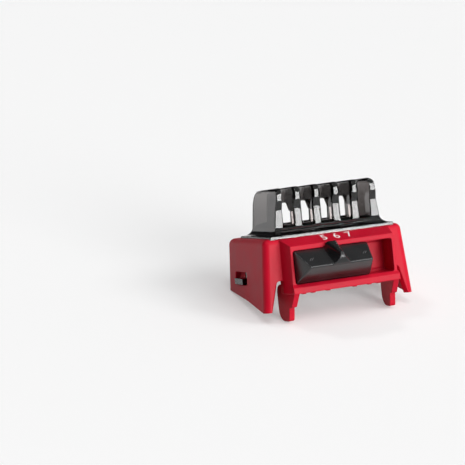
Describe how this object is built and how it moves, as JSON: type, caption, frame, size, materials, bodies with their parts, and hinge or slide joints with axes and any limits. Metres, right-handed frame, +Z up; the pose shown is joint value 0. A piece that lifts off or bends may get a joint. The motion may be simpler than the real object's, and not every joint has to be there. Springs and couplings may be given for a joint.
{
  "type": "hair clipper guide comb",
  "caption": "Adjustable guide comb for a hair clipper: a red push-on frame, a finned clear hood, and a black thumb slider whose ramp plate lifts the hood to set the cutting length.",
  "frame": {"origin": "on the floor that the toes and rear corners stand on, below the middle of the whole object's box", "axes": "+X along the comb, to the right as seen from the slider; -Y towards the slider side; +Z up. The object leans back 17.97 degrees, so the comb lifts along (0, 0.3085, 0.9512)."},
  "size_m": [0.0542, 0.0474, 0.0409],
  "materials": {
    "frame_plastic": "satin moulded",
    "comb_plastic": "polished clear",
    "button_plastic": "fine satin",
    "cam_plastic": "natural moulded",
    "screw_steel": "zinc plated",
    "spring_steel": "rolled strip"
  },
  "bodies": {
    "frame_body": {"frame": "frame_plastic"},
    "comb_body": {"comb": "comb_plastic"},
    "slider_body": {"slider_button": "button_plastic", "cam_plate": "cam_plastic", "cam_screws": "screw_steel", "detent_spring": "spring_steel"}
  },
  "joints": [
    {"name": "slider_slide", "type": "slide", "parent": "frame_body", "child": "slider_body", "axis": [1, 0, 0], "range_m": [0, 0.0089], "deforming": ["detent_spring"]},
    {"name": "comb_lift", "type": "slide", "parent": "frame_body", "child": "comb_body", "axis": [0, 0.3085, 0.9512], "range_m": [0, 0.002]}
  ],
  "couplings": [
    {"joint": "comb_lift", "follows": "slider_slide", "ratio": 0.22472}
  ]
}
